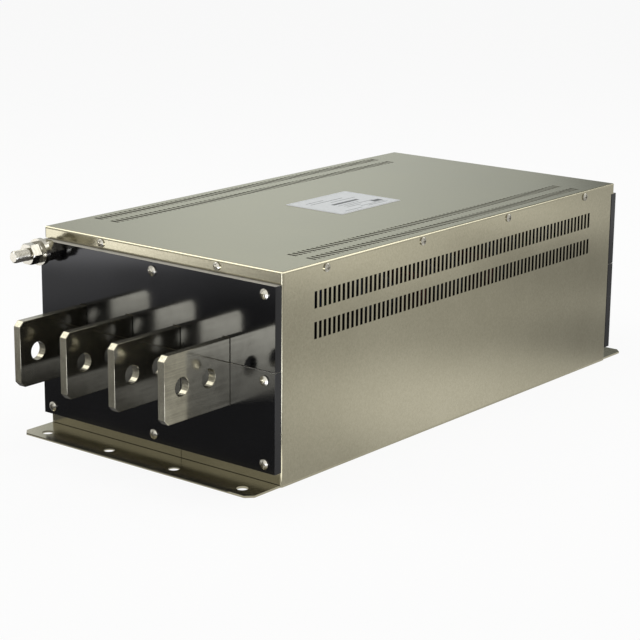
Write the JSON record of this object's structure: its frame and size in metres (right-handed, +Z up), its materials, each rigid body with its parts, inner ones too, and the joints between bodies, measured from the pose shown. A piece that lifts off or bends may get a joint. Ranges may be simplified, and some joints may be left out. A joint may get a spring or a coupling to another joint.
{
  "type": "emi line filter",
  "caption": "Boxed power line filter with busbar terminals through black insulating end panels, slotted sheet cover, earth studs and a drilled mounting base.",
  "frame": {"origin": "middle of the mounting face, under the centre of the cover", "axes": "+Z up from the mounting face, +Y along the busbars from the line end to the load end, +X to the right seen from the line end"},
  "size_m": [0.3052, 0.7506, 0.2002],
  "materials": {
    "steel_sheet": "satin nickel-toned sheet steel, fine grain",
    "plated_hardware": "bright nickel plating",
    "black_panel": "polished black insulating board",
    "tinned_copper": "tin-plated copper bar, satin and mirror-like",
    "bare_copper": "bare copper strip",
    "brass_spacer": "turned brass",
    "core_case": "dark blue cast case round the wound core",
    "bearer_board": "resin-bonded paper board",
    "red_board": "red polyester-glass insulating board",
    "green_board": "green solder-masked circuit board",
    "yellow_case": "yellow capacitor case",
    "blue_case": "blue capacitor case",
    "resistor_body": "cement-coated resistor",
    "label_film": "silver-grey label film, bare"
  },
  "bodies": {
    "root": {"base_plate": "steel_sheet", "wrap_right": "steel_sheet", "wrap_left": "steel_sheet", "seam_strips": "steel_sheet", "lid": "steel_sheet", "lid_screws": "plated_hardware", "lid_nuts": "plated_hardware", "front_panel_lower": "black_panel", "front_panel_upper": "black_panel", "rear_panel_lower": "black_panel", "rear_panel_upper": "black_panel", "panel_screws_front": "plated_hardware", "panel_screws_rear": "plated_hardware", "panel_nuts": "plated_hardware", "busbar_l1": "tinned_copper", "busbar_l2": "tinned_copper", "busbar_l3": "tinned_copper", "busbar_n": "tinned_copper", "earth_stud_front": "plated_hardware", "earth_stud_rear": "plated_hardware", "stud_nuts": "plated_hardware", "stud_inner_washers": "plated_hardware", "stud_outer_washers": "plated_hardware", "stud_spring_washers": "plated_hardware", "earth_strap_front": "bare_copper", "earth_strap_rear": "bare_copper", "bond_screws": "plated_hardware", "bond_nuts": "plated_hardware", "core_1": "core_case", "core_2": "core_case", "core_3": "core_case", "core_bearers": "bearer_board", "core_clamps": "steel_sheet", "bar_support_lower_1": "red_board", "bar_support_lower_2": "red_board", "bar_support_upper_1": "red_board", "bar_support_upper_2": "red_board", "support_angles": "steel_sheet", "support_straps": "steel_sheet", "support_screws": "plated_hardware", "board_line": "green_board", "board_load": "green_board", "board_spacers": "brass_spacer", "board_screws": "plated_hardware", "x_capacitors_line": "yellow_case", "x_capacitors_load": "yellow_case", "y_capacitors_line": "blue_case", "y_capacitors_load": "blue_case", "bleed_resistors": "resistor_body", "label": "label_film"}
  },
  "joints": []
}
